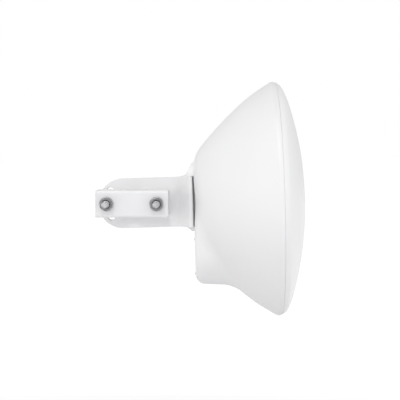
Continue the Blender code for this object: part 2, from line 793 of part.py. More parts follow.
def make_electronics():
    board_front = BOARD_BACK + BOARD_THICKNESS
    board = add_piece(
        "main_board",
        block_mesh(
            (BOARD_BACK, -BOARD_HALF_WIDTH, BOARD_LOW), (board_front, BOARD_HALF_WIDTH, BOARD_HIGH)
        ),
        "board_green",
        HEAD,
    )
    for y, z in BOARD_SCREWS:
        hole = rod_mesh(1.8 * MM, 58 * MM, 64 * MM, sides=12)
        cut(board, add_cutter(hole, HEAD, (0, y * MM, z * MM), Z_TO_X))
    head_block("radio_shield", "steel", (55.7, 59.7), (-22, 22), (-15, 25))
    head_block("thermal_pad", "grey_pad", (54.4, 55.4), (-18, 18), (-11, 21))
    head_block("heat_spreader", "aluminium", (49.6, 54.1), (-30, 30), (-26, 31))

    jack = add_piece(
        "ethernet_jack",
        block_mesh(
            (JACK_BACK, -JACK_HALF_WIDTH, JACK_LOW), (BOARD_BACK - GAP, JACK_HALF_WIDTH, JACK_HIGH)
        ),
        "steel",
        HEAD,
    )
    mouth = block_mesh((49.2 * MM, -5.9 * MM, -62 * MM), (57.4 * MM, 5.9 * MM, -43.5 * MM))
    cut(jack, add_cutter(mouth, HEAD))

    y, z = SWITCH_PLACE
    switch = add_piece(
        "reset_switch",
        block_mesh((56.2 * MM, y - 3 * MM, z - 3 * MM), (59.7 * MM, y + 3 * MM, z + 3 * MM)),
        "dark_plastic",
        HEAD,
    )
    bore = rod_mesh(2.1 * MM, 50 * MM, 58.7 * MM, sides=16)
    cut(switch, add_cutter(bore, HEAD, (0, y, z), Z_TO_X))
    button = rod_mesh(1.75 * MM, -1.6 * MM, 1.6 * MM, sides=16)
    add_piece("reset_button", button, "dark_plastic", HEAD, (56.0 * MM, y, z), Z_TO_X)

    low = LIGHT_PIPES[0] - 1.6 * MM
    high = LIGHT_PIPES[-1] + 1.6 * MM
    pipes = add_piece(
        "light_pipes",
        block_mesh(
            (44.6 * MM, low, LIGHT_PIPE_Z - 1.6 * MM), (47.0 * MM, high, LIGHT_PIPE_Z + 1.6 * MM)
        ),
        "clear_plastic",
        HEAD,
    )
    for y in LIGHT_PIPES:
        pipe = rod_mesh(1.2 * MM, 39.2 * MM, 58.8 * MM, sides=12)
        join(pipes, add_cutter(pipe, HEAD, (0, y, LIGHT_PIPE_Z), Z_TO_X))


def make_head_screws():
    for index, (y, z) in enumerate(BASE_SCREWS):
        x = BOWL_BACK + WALL + GAP
        place_at = (x, y * MM, z * MM)
        make_screw(f"base_screw_{index + 1}", place_at, BASE_SCREW_HEAD, BASE_SCREW_SHANK)
    for index, (y, z) in enumerate(BOARD_SCREWS):
        x = BOARD_BACK + BOARD_THICKNESS + GAP
        place_at = (x, y * MM, z * MM)
        make_screw(f"board_screw_{index + 1}", place_at, BOARD_SCREW_HEAD, BOARD_SCREW_SHANK)
    for index, (y, z) in enumerate(feed_screw_places()):
        x = FEED_FLANGE_BACK + FEED_FLANGE + GAP
        make_screw(f"feed_screw_{index + 1}", (x, y, z), FEED_SCREW_HEAD, FEED_SCREW_SHANK)


# ---------------------------------------------------------------- port bay


def oval_outline(half_width, half_depth):
    """A slot outline around the cable's axis, its long side across the bay, in (x, y)."""
    reach = half_width - half_depth
    right = arc((CABLE_X, reach), half_depth, 0, 180, 8)
    left = arc((CABLE_X, -reach), half_depth, 180, 360, 8)
    return right + left


def make_port_bay():
    w, wall = LINER_HALF_WIDTH, LINER_WALL
    liner = add_piece(
        "port_bay_liner",
        block_mesh((LINER_BACK, -w, LINER_LOW), (LINER_FRONT, w, LINER_HIGH)),
        "dark_plastic",
        HEAD,
    )
    hollow = block_mesh(
        (LINER_BACK - MM, -w + wall, LINER_LOW + wall),
        (LINER_FRONT - wall, w - wall, LINER_HIGH - wall),
    )
    jack_hole = block_mesh(
        (40 * MM, -JACK_HALF_WIDTH - GAP, -60 * MM), (65 * MM, JACK_HALF_WIDTH + GAP, -50 * MM)
    )
    y, z = SWITCH_PLACE
    switch_hole = block_mesh(
        (56.5 * MM, y - 3.4 * MM, z - 3.4 * MM), (62 * MM, y + 3.4 * MM, z + 3.4 * MM)
    )
    cable = flat_mesh(oval_outline(8.3 * MM, 5.0 * MM), -90 * MM, -80 * MM)
    cut(
        liner,
        add_cutter(hollow, HEAD),
        add_cutter(jack_hole, HEAD),
        add_cutter(switch_hole, HEAD),
        add_cutter(cable, HEAD),
    )

    grommet = add_piece(
        "cable_grommet",
        flat_mesh(oval_outline(8.0 * MM, 4.7 * MM), -95.3 * MM, -80.5 * MM),
        "black_rubber",
        HEAD,
    )
    flange = flat_mesh(oval_outline(9.2 * MM, 5.4 * MM), -81.3 * MM, -79.8 * MM)
    join(grommet, add_cutter(flange, HEAD))
    hole = rod_mesh(CABLE_HOLE_RADIUS, -100 * MM, -75 * MM)
    slit = block_mesh((CABLE_X - 0.3 * MM, 0, -100 * MM), (CABLE_X + 0.3 * MM, 20 * MM, -75 * MM))
    cut(grommet, add_cutter(hole, HEAD, (CABLE_X, 0, 0)), add_cutter(slit, HEAD))

    pin = rod_mesh(DOOR_PIN, -34.0 * MM, 34.0 * MM, sides=12)
    add_piece("door_hinge_pin", pin, "steel", HEAD, (DOOR_HINGE_X, 0, DOOR_HINGE_Z), Z_TO_Y)


def make_door():
    """The flap over the port bay. Its own frame sits on the hinge pin's axis."""
    def at_pin(low, high):
        shift = (DOOR_HINGE_X, 0.0, DOOR_HINGE_Z)
        return block_mesh([a - b for a, b in zip(low, shift)], [a - b for a, b in zip(high, shift)])

    outer = DOOR_HINGE_X - DOOR_BARREL
    w = DOOR_HALF_WIDTH
    panel = at_pin((outer, -w, DOOR_LOW), (outer + 2.2 * MM, w, DOOR_HINGE_Z))
    door = add_piece("port_door", panel, "white_plastic", DOOR_AXIS)
    barrel = rod_mesh(DOOR_BARREL, -w, w, sides=16)
    grip = at_pin((39.2 * MM, -9 * MM, -83.6 * MM), (outer + MM, 9 * MM, -81.6 * MM))
    join(door, add_cutter(barrel, DOOR_AXIS, rotation=Z_TO_Y), add_cutter(grip, DOOR_AXIS))
    bore = rod_mesh(0.85 * MM, -w - MM, w + MM, sides=12)
    cut(door, add_cutter(bore, DOOR_AXIS, rotation=Z_TO_Y))

    back, front = outer + 2.5 * MM, LINER_BACK - GAP
    seal = add_piece(
        "door_seal",
        at_pin((back, -29.8 * MM, -82.8 * MM), (front, 29.8 * MM, -54.4 * MM)),
        "black_rubber",
        DOOR_AXIS,
    )
    middle = at_pin((back - MM, -27.8 * MM, -80.8 * MM), (front + MM, 27.8 * MM, -56.4 * MM))
    cut(seal, add_cutter(middle, DOOR_AXIS))


# ---------------------------------------------------------------- assembly


clear_scene()
PARTS = new_collection("outdoor_wireless_bridge")
CUTTERS = new_collection("cutters")

HEAD = bpy.data.objects.new("elevation_axis", None)
PARTS.objects.link(HEAD)
place(HEAD, None, (PIVOT_X, HEAD_CENTRE_Y, 0.0), (0.0, -TILT, 0.0))
DOOR_AXIS = bpy.data.objects.new("door_axis", None)
PARTS.objects.link(DOOR_AXIS)
place(DOOR_AXIS, HEAD, (DOOR_HINGE_X, 0.0, DOOR_HINGE_Z), (0.0, 0.0, 0.0))

make_jaw("rear_jaw", 1)
make_jaw("front_jaw", -1)
make_clamp_fasteners()
make_arm()
make_mount_base()
make_housing()
make_radome()
make_radome_seal()
make_reflector()
make_feed()
make_electronics()
make_head_screws()
make_port_bay()
make_door()
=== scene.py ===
"""Looks for the outdoor wireless bridge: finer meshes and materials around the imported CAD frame.

Lengths are written in millimetres and turned into metres where a mesh is made. The head frame has
its origin on the pivot bolt: x runs along the dish's axis, y away from the dish's centre plane and
z up. It is tilted back by TILT, as the CAD head is.
"""

import math

import bmesh
import bpy
import numpy as np
from mathutils import Matrix, Vector


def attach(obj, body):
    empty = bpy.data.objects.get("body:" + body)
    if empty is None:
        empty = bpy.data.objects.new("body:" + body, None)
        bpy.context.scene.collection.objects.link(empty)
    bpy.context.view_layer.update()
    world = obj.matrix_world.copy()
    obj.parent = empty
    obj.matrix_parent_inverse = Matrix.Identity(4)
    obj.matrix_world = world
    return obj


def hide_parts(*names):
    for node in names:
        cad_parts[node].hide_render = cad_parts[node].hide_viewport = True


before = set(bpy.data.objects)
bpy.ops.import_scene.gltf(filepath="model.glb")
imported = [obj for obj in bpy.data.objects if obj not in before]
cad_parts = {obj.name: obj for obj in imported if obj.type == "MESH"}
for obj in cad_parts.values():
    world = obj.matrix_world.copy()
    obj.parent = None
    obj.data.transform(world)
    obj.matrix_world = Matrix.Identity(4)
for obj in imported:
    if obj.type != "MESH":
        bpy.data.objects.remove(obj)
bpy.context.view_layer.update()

MM = 0.001
TILT = math.radians(1.7)
BOLT_X = 27.5
HEAD_Y = 29.0
WORLD = Matrix.Identity(4)
HEAD = Matrix.Translation((BOLT_X * MM, HEAD_Y * MM, 0.0)) @ Matrix.Rotation(-TILT, 4, "Y")
ARM_HALF_THICKNESS = 5.0
ARM_HALF_HEIGHT = 28.3
BOWL_4F = 169.0
BOWL_VERTEX = 27.4
BOWL_EDGE = 131.36
RIM_ROUND = 5.9
RIM_FRONT = 135.9
HOUSING_BACK = 40.4
WALL = 2.6
HINGE = (41.75, -51.3)


# ---------------------------------------------------------------- mesh helpers


def new_object(name, points, faces, matrix):
    """An object from points in millimetres, with its faces turned outwards."""
    mesh = bpy.data.meshes.new(name)
    mesh.from_pydata([[c * MM for c in p] for p in points], [], [list(f) for f in faces])
    bm = bmesh.new()
    bm.from_mesh(mesh)
    bmesh.ops.remove_doubles(bm, verts=bm.verts, dist=1e-7)
    bmesh.ops.recalc_face_normals(bm, faces=bm.faces)
    bm.to_mesh(mesh)
    bm.free()
    obj = bpy.data.objects.new(name, mesh)
    bpy.context.scene.collection.objects.link(obj)
    obj.matrix_world = matrix
    return obj


def skin(rings, closed=False):
    """Faces between consecutive rings of vertex numbers. A ring of one is a pole."""
    faces = []
    pairs = list(zip(rings, rings[1:]))
    if closed:
        pairs.append((rings[-1], rings[0]))
    for a, b in pairs:
        count = max(len(a), len(b))
        for i in range(count):
            j = (i + 1) % count
            if len(a) == 1:
                faces.append((a[0], b[i], b[j]))
            elif len(b) == 1:
                faces.append((a[i], b[0], a[j]))
            else:
                faces.append((a[i], b[i], b[j], a[j]))
    return faces


def ring_mesh(ring_points, closed=False):
    """Points and faces from a list of rings of points."""
    points = []
    rings = []
    for ring in ring_points:
        rings.append(range(len(points), len(points) + len(ring)))
        points.extend(ring)
    return points, skin(rings, closed)


def turned(name, profile, matrix, axis="X", centre=(0, 0, 0), steps=96, closed=False):
    """A profile of (along, radius) points turned about an axis through centre."""
    rings = []
    for along, radius in profile:
        if radius < 1e-6:
            around = [(0.0, 0.0)]
        else:
            angles = [math.tau * i / steps for i in range(steps)]
            around = [(radius * math.cos(a), radius * math.sin(a)) for a in angles]
        if axis == "X":
            ring = [(along, p, q) for p, q in around]
        elif axis == "Y":
            ring = [(q, along, p) for p, q in around]
        else:
            ring = [(p, q, along) for p, q in around]
        rings.append([tuple(c + d for c, d in zip(centre, p)) for p in ring])
    points, faces = ring_mesh(rings, closed)
    return new_object(name, points, faces, matrix)


def prism(name, outline, low, high, matrix, view="side"):
    """A flat outline pushed along the direction that it is seen in."""

    def place(p, q, depth):
        if view == "side":
            return (p, depth, q)
        if view == "top":
            return (p, q, depth)
        return (depth, p, q)

    count = len(outline)
    points = [place(p, q, low) for p, q in outline] + [place(p, q, high) for p, q in outline]
    faces = [tuple(range(count)), tuple(range(count, 2 * count))]
    faces += [(i, (i + 1) % count, count + (i + 1) % count, count + i) for i in range(count)]
    return new_object(name, points, faces, matrix)


def block(name, low, high, matrix):
    outline = [(low[0], low[2]), (high[0], low[2]), (high[0], high[2]), (low[0], high[2])]
    return prism(name, outline, low[1], high[1], matrix)


def arc(centre, radius, start, end, steps):
    """Points on an arc between two angles in degrees."""
    angles = [math.radians(start + (end - start) * i / steps) for i in range(steps + 1)]
    return [(centre[0] + radius * math.cos(a), centre[1] + radius * math.sin(a)) for a in angles]


def rounded_box(low, high, rounds, steps=8):
    """A rectangle's outline with its own corner radii, from the lower left corner round."""
    (x0, y0), (x1, y1) = low, high
    a, b, c, d = rounds
    return (
        arc((x0 + a, y0 + a), a, 180, 270, steps)
        + arc((x1 - b, y0 + b), b, 270, 360, steps)
        + arc((x1 - c, y1 - c), c, 0, 90, steps)
        + arc((x0 + d, y1 - d), d, 90, 180, steps)
    )


def stack(name, rows, closed=False):
    """Rounded boxes joined along x, from rows of (x, low corner, high corner, radius)."""
    rings = []
    for x, low, high, radius in rows:
        rings.append([(x, y, z) for y, z in rounded_box(low, high, [radius] * 4, 6)])
    points, faces = ring_mesh(rings, closed)
    if not closed:
        count = len(rings[0])
        faces += [tuple(range(count)), tuple(range(len(points) - count, len(points)))]
    return new_object(name, points, faces, HEAD)


def stepped(name, steps, low, high, radius, closed=False):
    """A stack whose rows are one rounded box, grown at each (x, growth) step."""
    rows = []
    for x, g in steps:
        corners = (low[0] - g, low[1] - g), (high[0] + g, high[1] + g)
        rows.append((x, *corners, max(radius + g, 0.05)))
    return stack(name, rows, closed)


def spline(points, steps):
    """A smooth open curve through the points."""
    p = np.array([points[0], *points, points[-1]], float)
    out = []
    for i in range(1, len(p) - 2):
        for k in range(steps):
            t = k / steps
            out.append(
                tuple(
                    0.5
                    * (
                        2 * p[i]
                        + (p[i + 1] - p[i - 1]) * t
                        + (2 * p[i - 1] - 5 * p[i] + 4 * p[i + 1] - p[i + 2]) * t * t
                        + (3 * p[i] - p[i - 1] - 3 * p[i + 1] + p[i + 2]) * t**3
                    )
                )
            )
    return out + [tuple(points[-1])]


def apply_modifiers(obj):
    graph = bpy.context.evaluated_depsgraph_get()
    mesh = bpy.data.meshes.new_from_object(obj.evaluated_get(graph))
    old = obj.data
    obj.modifiers.clear()
    obj.data = mesh
    bpy.data.meshes.remove(old)


def combine(obj, tools, operation="DIFFERENCE", solver="EXACT"):
    """Booleans obj with each tool and removes the tools."""
    for tool in tools:
        modifier = obj.modifiers.new("boolean", "BOOLEAN")
        modifier.operation = operation
        modifier.solver = solver
        modifier.object = tool
    apply_modifiers(obj)
    for tool in tools:
        bpy.data.objects.remove(tool)
    return obj


def merge(name, *objs):
    """One object from several that share a matrix."""
    bm = bmesh.new()
    for obj in objs:
        bm.from_mesh(obj.data)
    mesh = bpy.data.meshes.new(name)
    bm.to_mesh(mesh)
    bm.free()
    merged = bpy.data.objects.new(name, mesh)
    bpy.context.scene.collection.objects.link(merged)
    merged.matrix_world = objs[0].matrix_world.copy()
    for obj in objs:
        bpy.data.objects.remove(obj)
    return merged


def soften(obj, width, segments=3, angle=30.0):
    """Rounds every edge sharper than angle."""
    bm = bmesh.new()
    bm.from_mesh(obj.data)
    bmesh.ops.remove_doubles(bm, verts=bm.verts, dist=1e-6)
    bmesh.ops.dissolve_limit(
        bm, angle_limit=math.radians(0.3), verts=bm.verts, edges=bm.edges
    )
    bm.to_mesh(obj.data)
    bm.free()
    bevel = obj.modifiers.new("bevel", "BEVEL")
    bevel.width = width * MM
    bevel.segments = segments
    bevel.limit_method = "ANGLE"
    bevel.angle_limit = math.radians(angle)
    bevel.miter_outer = "MITER_ARC"
    apply_modifiers(obj)
    return obj


def shade(obj, angle=40.0, weighted=True):
    obj.data.shade_smooth()
    obj.data.set_sharp_from_angle(angle=math.radians(angle))
    if weighted:
        modifier = obj.modifiers.new("normals", "WEIGHTED_NORMAL")
        modifier.keep_sharp = True
        apply_modifiers(obj)
    return obj


def dress(obj, body, nodes, material):
    """Gives the piece its material and its body, and hides the CAD nodes that it stands for."""
    obj.data.transform(obj.matrix_world)
    obj.matrix_world = WORLD
    obj.data.materials.clear()
    obj.data.materials.append(material)
    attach(obj, body)
    if nodes:
        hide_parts(*nodes)
    return obj


# ---------------------------------------------------------------- materials


class Nodes:
    """A short way to add and link a material's nodes."""

    def __init__(self, name):
        self.material = bpy.data.materials.new(name)
        self.material.use_nodes = True
        self.tree = self.material.node_tree
        self.shader = self.tree.nodes["Principled BSDF"]

    def add(self, kind, inputs=(), **settings):
        node = self.tree.nodes.new(kind)
        for key, value in settings.items():
            setattr(node, key, value)
        for key, value in inputs:
            if isinstance(value, bpy.types.NodeSocket):
                self.tree.links.new(value, node.inputs[key])
            else:
                node.inputs[key].default_value = value
        return node

    def link(self, socket, name):
        self.tree.links.new(socket, self.shader.inputs[name])

    def noise(self, vector, scale, detail=3.0, roughness=0.55):
        inputs = (
            ("Vector", vector), ("Scale", scale), ("Detail", detail), ("Roughness", roughness),
        )
        return self.add("ShaderNodeTexNoise", inputs).outputs["Fac"]

    def remap(self, value, low, high, new_low, new_high):
        inputs = (
            ("Value", value),
            ("From Min", low),
            ("From Max", high),
            ("To Min", new_low),
            ("To Max", new_high),
        )
        return self.add("ShaderNodeMapRange", inputs).outputs["Result"]

    def blend(self, factor, a, b):
        inputs = (("Factor", factor), ("A", a), ("B", b))
        node = self.add("ShaderNodeMix", (), data_type="RGBA")
        sockets = {"Factor": node.inputs[0], "A": node.inputs[6], "B": node.inputs[7]}
        for key, value in inputs:
            if isinstance(value, bpy.types.NodeSocket):
                self.tree.links.new(value, sockets[key])
            else:
                sockets[key].default_value = value
        return node.outputs[2]


def scaled(colour, share):
    return (*[min(c * share, 1.0) for c in colour], 1.0)


def finish(
    name,
    colour,
    roughness,
    metallic=0.0,
    grain=(1500.0, 0.1, 0.05),
    mottle=(25.0, 0.02),
    spread=0.05,
    stretch=(1.0, 1.0, 1.0),
    edge=0.0,
    specular=0.5,
    coat=0.0,
):
    """A finish with a fine grain, soft colour mottling and uneven gloss.

    grain is (scale per metre, bump strength, depth in mm), mottle is (scale, share of the colour),
    spread is how far the roughness wanders and edge how strongly outer edges are lightened, a
    painted highlight.
    """
    n = Nodes(name)
    n.shader.inputs["Metallic"].default_value = metallic
    n.shader.inputs["Specular IOR Level"].default_value = specular
    n.shader.inputs["Coat Weight"].default_value = coat
    n.shader.inputs["Coat Roughness"].default_value = 0.25
    place = n.add("ShaderNodeTexCoord").outputs["Object"]
    place = n.add("ShaderNodeMapping", (("Vector", place), ("Scale", stretch))).outputs["Vector"]
    wide = n.noise(place, mottle[0], 4.0)
    share = n.remap(wide, 0.3, 0.7, 0.0, 1.0)
    tint = n.blend(share, scaled(colour, 1 - mottle[1]), scaled(colour, 1 + mottle[1]))
    # Painted highlight: outer edges, found by their pointiness, are blended towards a lighter copy
    # of the colour.
    if edge:
        point = n.add("ShaderNodeNewGeometry").outputs["Pointiness"]
        painted_edge_highlight = n.remap(point, 0.52, 0.6, 0.0, edge)
        tint = n.blend(painted_edge_highlight, tint, scaled(colour, 1.35))
    n.link(tint, "Base Color")
    uneven = n.noise(place, mottle[0] * 5, 3.0)
    n.link(n.remap(uneven, 0.3, 0.7, roughness - spread, roughness + spread), "Roughness")
    fine = n.noise(place, grain[0], 2.0)
    inputs = (("Height", fine), ("Strength", grain[1]), ("Distance", grain[2] * MM))
    n.link(n.add("ShaderNodeBump", inputs).outputs["Normal"], "Normal")
    return n.material


WHITE = (0.82, 0.82, 0.826)
WHITE_PLASTIC = finish("white_plastic", WHITE, 0.42, grain=(1400, 0.25, 0.03), mottle=(9, 0.012))
RADOME_PLASTIC = finish("radome_plastic", WHITE, 0.36, grain=(1400, 0.2, 0.02), mottle=(8, 0.012))
# The edge settings below give a painted highlight on outer edges.
POWDER_COAT = finish(
    "white_powder_coat", (0.835, 0.835, 0.842), 0.48,
    grain=(700, 0.35, 0.06), mottle=(30, 0.02), edge=0.3,
)
JAW_COAT = finish(
    "jaw_powder_coat", (0.80, 0.80, 0.812), 0.45,
    grain=(800, 0.3, 0.05), mottle=(30, 0.02), edge=0.3,
)
ZINC = finish(
    "zinc_plate", (0.24, 0.24, 0.25), 0.3, 1.0,
    grain=(2500, 0.3, 0.02), mottle=(300, 0.25), spread=0.1, edge=0.6,
)
WASHER_ZINC = finish(
    "washer_zinc", (0.42, 0.42, 0.43), 0.28, 1.0,
    grain=(3000, 0.3, 0.02), mottle=(300, 0.2), spread=0.1, edge=0.6,
)
THREAD_STEEL = finish(
    "thread_steel", (0.46, 0.46, 0.47), 0.36, 1.0,
    grain=(4000, 0.3, 0.01), mottle=(500, 0.25), spread=0.1, edge=0.5,
)
SCREW_STEEL = finish(
    "screw_steel", (0.5, 0.5, 0.51), 0.32, 1.0,
    grain=(3000, 0.2, 0.01), mottle=(400, 0.15), spread=0.08,
)
RUBBER = finish(
    "black_rubber", (0.028, 0.028, 0.03), 0.72,
    grain=(1800, 0.5, 0.05), mottle=(80, 0.3), spread=0.08,
)
SPUN_ALUMINIUM = finish(
    "spun_aluminium", (0.72, 0.73, 0.75), 0.34, 1.0,
    grain=(1500, 0.15, 0.02), mottle=(40, 0.06), stretch=(8.0, 1.0, 1.0),
)
CAST_ALUMINIUM = finish(
    "cast_aluminium", (0.6, 0.61, 0.62), 0.5, 1.0, grain=(900, 0.5, 0.08), mottle=(60, 0.1)
)
FEED_PLASTIC = finish("feed_plastic", (0.83, 0.83, 0.80), 0.4, grain=(1800, 0.2, 0.02))
SOLDER_MASK = finish(
    "solder_mask", (0.02, 0.14, 0.06), 0.4,
    grain=(900, 0.4, 0.04), mottle=(220, 0.35), spread=0.1,
)
TINPLATE = finish(
    "tinplate", (0.66, 0.66, 0.65), 0.3, 1.0,
    grain=(1200, 0.25, 0.03), mottle=(90, 0.12), spread=0.08,
)
PAD = finish("thermal_pad", (0.33, 0.36, 0.42), 0.85, grain=(2000, 0.5, 0.05), mottle=(150, 0.1))
DARK_PLASTIC = finish(
    "dark_plastic", (0.045, 0.046, 0.05), 0.5,
    grain=(2200, 0.4, 0.04), mottle=(60, 0.15), spread=0.06,
)
BUTTON_PLASTIC = finish("button_plastic", (0.15, 0.15, 0.155), 0.4, grain=(2200, 0.3, 0.03))
CONTACT_GOLD = finish("contact_gold", (0.85, 0.6, 0.22), 0.25, 1.0, grain=(3000, 0.1, 0.01))
LENS = finish("light_pipe_lens", (0.72, 0.78, 0.8), 0.18, grain=(1500, 0.1, 0.01), coat=0.6)


# ---------------------------------------------------------------- housing and radome


SEAM_ROUND = 0.22
BAY_HALF_WIDTH = 50.0
BAY_BOTTOM = -93.3
BAY_TOP = 6.0
BAY_CORNER = 38.0
BAY_DRAFT = 0.07
BAY_DRAFT_FROM = 50
BLEND = 8.5
BACK_ROUND = 8.0
LOWER_ROUND = 3.0
LOWER_FROM = 45
LOWER_OVER = 40
BACK_HOLLOW = 2.1
BACK_HOLLOW_REACH = 22
SWELL, SWELL_RADIUS, SWELL_REACH = 1.1, 80, 20
DIP, DIP_RADIUS, DIP_REACH = 0.7, 116, 10
SHELL_CENTRE = np.array([100.0, 0.0, 0.0])
DOOR_OPENING = ((-31.0, -84.4), (31.0, -49.4))
LIGHT_PIPES = (16.0, 22.0, 28.0)
LIGHT_PIPE_Z = -44.9
SWITCH = (20.0, -68.0)
CABLE_X = 52.0


def bowl_point(radius):
    return (BOWL_VERTEX + radius * radius / BOWL_4F, radius)


def rim_arc(steps):
    """The rim's rounding, from the bowl to the seam."""
    slope = 2 * BOWL_EDGE / BOWL_4F
    norm = math.hypot(1, slope)
    x, r = bowl_point(BOWL_EDGE)
    centre = (x + RIM_ROUND / norm, r - RIM_ROUND * slope / norm)
    front = math.asin((RIM_FRONT - SEAM_ROUND - centre[0]) / RIM_ROUND)
    back = -math.asin(1 / norm)
    angles = [back + (front - back) * i / steps for i in range(steps + 1)]
    return [
        (centre[0] + RIM_ROUND * math.sin(a), centre[1] + RIM_ROUND * math.cos(a)) for a in angles
    ]


def smooth_min(a, b, k):
    h = np.maximum(k - np.abs(a - b), 0.0) / k
    return np.minimum(a, b) - h * h * k / 4


def shell_distance(p, inset):
    """About how far points lie outside the housing, or outside its wall's inner face."""
    x, y, z = p[..., 0], p[..., 1], p[..., 2]
    r = np.hypot(y, z)
    bowl = (r * r - BOWL_4F * (x - BOWL_VERTEX)) / np.hypot(2 * r, BOWL_4F)
    swell = SWELL * np.exp(-(((r - SWELL_RADIUS) / SWELL_REACH) ** 2))
    dip = DIP * np.exp(-(((r - DIP_RADIUS) / DIP_REACH) ** 2))
    bowl = bowl + swell - dip
    low = BAY_BOTTOM - BAY_DRAFT * (x - BAY_DRAFT_FROM)
    middle = (BAY_TOP + low) / 2
    dy = np.abs(y) - BAY_HALF_WIDTH + BAY_CORNER
    dz = np.abs(z - middle) - (BAY_TOP - low) / 2 + BAY_CORNER
    outside = np.hypot(np.maximum(dy, 0), np.maximum(dz, 0))
    bay = outside + np.minimum(np.maximum(dy, dz), 0) - BAY_CORNER
    sides = smooth_min(bowl, bay, BLEND)
    back = HOUSING_BACK + BACK_HOLLOW * np.exp(-((z / BACK_HOLLOW_REACH) ** 2)) - x
    lower = np.clip((-z - LOWER_FROM) / LOWER_OVER, 0, 1)
    return -smooth_min(-sides, -back, BACK_ROUND + LOWER_ROUND * lower) + inset


def on_shell(directions, inset):
    """Where rays from the housing's middle meet the shell."""
    near = np.full(directions.shape[:-1], 20.0)
    far = np.full(directions.shape[:-1], 190.0)
    for _ in range(34):
        middle = (near + far) / 2
        inside = shell_distance(SHELL_CENTRE + directions * middle[..., None], inset) < 0
        near = np.where(inside, middle, near)
        far = np.where(inside, far, middle)
    return SHELL_CENTRE + directions * ((near + far) / 2)[..., None]


def shell_rings(profile, count, inset, azimuths):
    """Rings from the middle of the back out to the profile's first point, then the profile."""
    x, r = profile[0]
    last = math.atan2(r, SHELL_CENTRE[0] - x)
    polar = np.linspace(0, last, count + 1)[1:-1]
    around = np.stack([np.zeros_like(azimuths), np.cos(azimuths), np.sin(azimuths)], -1)
    axis = np.array([-1.0, 0.0, 0.0])
    directions = np.cos(polar)[:, None, None] * axis + np.sin(polar)[:, None, None] * around
    rings = [list(map(tuple, ring)) for ring in on_shell(directions, inset)]
    rings += [[(x, r * a[1], r * a[2]) for a in around] for x, r in profile]
    pole = on_shell(axis, inset)
    return [[tuple(pole)]] + rings


def oval(half_width, half_depth, steps=14):
    reach = half_width - half_depth
    right = arc((CABLE_X, reach), half_depth, 0, 180, steps)
    return right + arc((CABLE_X, -reach), half_depth, 180, 360, steps)


def make_housing():
    azimuths = np.linspace(0, math.tau, 256, endpoint=False)
    rim = rim_arc(12)
    edge = arc((RIM_FRONT - SEAM_ROUND, rim[-1][1] - SEAM_ROUND), SEAM_ROUND, 90, 0, 4)
    lip = edge[1:] + [(RIM_FRONT, 129.9), (RIM_FRONT - 0.3, 129.6), (132.5, 129.6)]
    outer = shell_rings(rim + lip, 118, 0.0, azimuths)
    slope = 2 * BOWL_EDGE / BOWL_4F
    norm = math.hypot(1, slope)
    x, r = bowl_point(BOWL_EDGE - 1.0)
    start = (x + WALL / norm, r - WALL * slope / norm)
    inner = shell_rings([start], 44, WALL, azimuths)
    points, faces = ring_mesh(outer + inner[::-1])
    housing = new_object("dish_housing", points, faces, HEAD)

    mouth = [(30.0, 0.5), (HOUSING_BACK, 0.5), (HOUSING_BACK + 0.5, 0.0), (43.6, 0.0)]
    tools = [stepped("door_cut", mouth, *DOOR_OPENING, 1.2)]
    pin_profile = [(-34.3, 0), (-34.3, 0.8), (34.3, 0.8), (34.3, 0)]
    tools.append(turned("pin_cut", pin_profile, HEAD, "Y", (HINGE[0], 0, HINGE[1]), 24))
    for y in LIGHT_PIPES:
        profile = [(30, 0), (30, 2.0), (40.4, 2.0), (40.9, 1.5), (47, 1.5), (47, 0)]
        tools.append(turned("pipe_cut", profile, HEAD, "X", (0, y, LIGHT_PIPE_Z), 32))
    tools.append(prism("cable_cut", oval(8.3, 5.0), -105, -88, HEAD, "top"))
    combine(housing, tools, solver="MANIFOLD")
    shade(housing, 50, weighted=False)
    return dress(housing, "head", ["rear_housing"], WHITE_PLASTIC)


RADOME_FRONT = 166.0
RADOME_WALL = 2.5


def radome_curve(inset, fine):
    """The dome from its middle to the seam, as arcs of (radius, end angle, steps)."""
    arcs = ((372.0, 16.88, 20 * fine), (103.6, 27.0, 7 * fine), (13.8, 68.0, 9 * fine))
    radius, angle = arcs[0][0], 0.0
    centre = [RADOME_FRONT - radius, 0.0]
    points = [(RADOME_FRONT - inset, 0.0)]
    for next_radius, end, steps in arcs:
        centre[0] += (radius - next_radius) * math.cos(angle)
        centre[1] += (radius - next_radius) * math.sin(angle)
        radius = next_radius
        end = math.radians(end)
        for i in range(1, steps + 1):
            a = angle + (end - angle) * i / steps
            reach = radius - inset
            points.append((centre[0] + reach * math.cos(a), centre[1] + reach * math.sin(a)))
        angle = end
    return points


def make_radome():
    outer = radome_curve(0, 2)
    seam_x, seam_r = outer[-1]
    outer = [p for p in outer if p[0] > seam_x + SEAM_ROUND * 1.2]
    edge = arc((seam_x + SEAM_ROUND, seam_r - SEAM_ROUND), SEAM_ROUND, 60, 180, 6)
    spigot = [(seam_x, 126.9), (129.0, 126.9), (129.0, 124.9), (140.2, 124.9)]
    inner = [p for p in radome_curve(RADOME_WALL, 1) if p[1] < 122.9]
    profile = outer + edge + spigot + inner[::-1]
    radome = turned("radome_cover", profile, HEAD, "X", steps=256)
    shade(radome, 50, weighted=False)
    return dress(radome, "head", ["radome"], RADOME_PLASTIC)


make_housing()
make_radome()


# ---------------------------------------------------------------- arm and mount base


SLOT_RADIUS = 55
SLOT_SWEEP = 15


def slot_outline(half_width):
    """The arc slot about the pivot, with round ends."""
    fine = 24
    first, last = 180 - SLOT_SWEEP, 180 + SLOT_SWEEP
    outer = arc((0, 0), SLOT_RADIUS + half_width, first, last, fine)
    inner = arc((0, 0), SLOT_RADIUS - half_width, last, first, fine)
    sweep = math.radians(SLOT_SWEEP)
    low = (-SLOT_RADIUS * math.cos(sweep), -SLOT_RADIUS * math.sin(sweep))
    low_cap = arc(low, half_width, last, last + 180, 14)
    high_cap = arc((low[0], -low[1]), half_width, first - 180, first, 14)
    return outer + low_cap[1:-1] + inner + high_cap[1:-1]


ARM_FRONT = 39.7
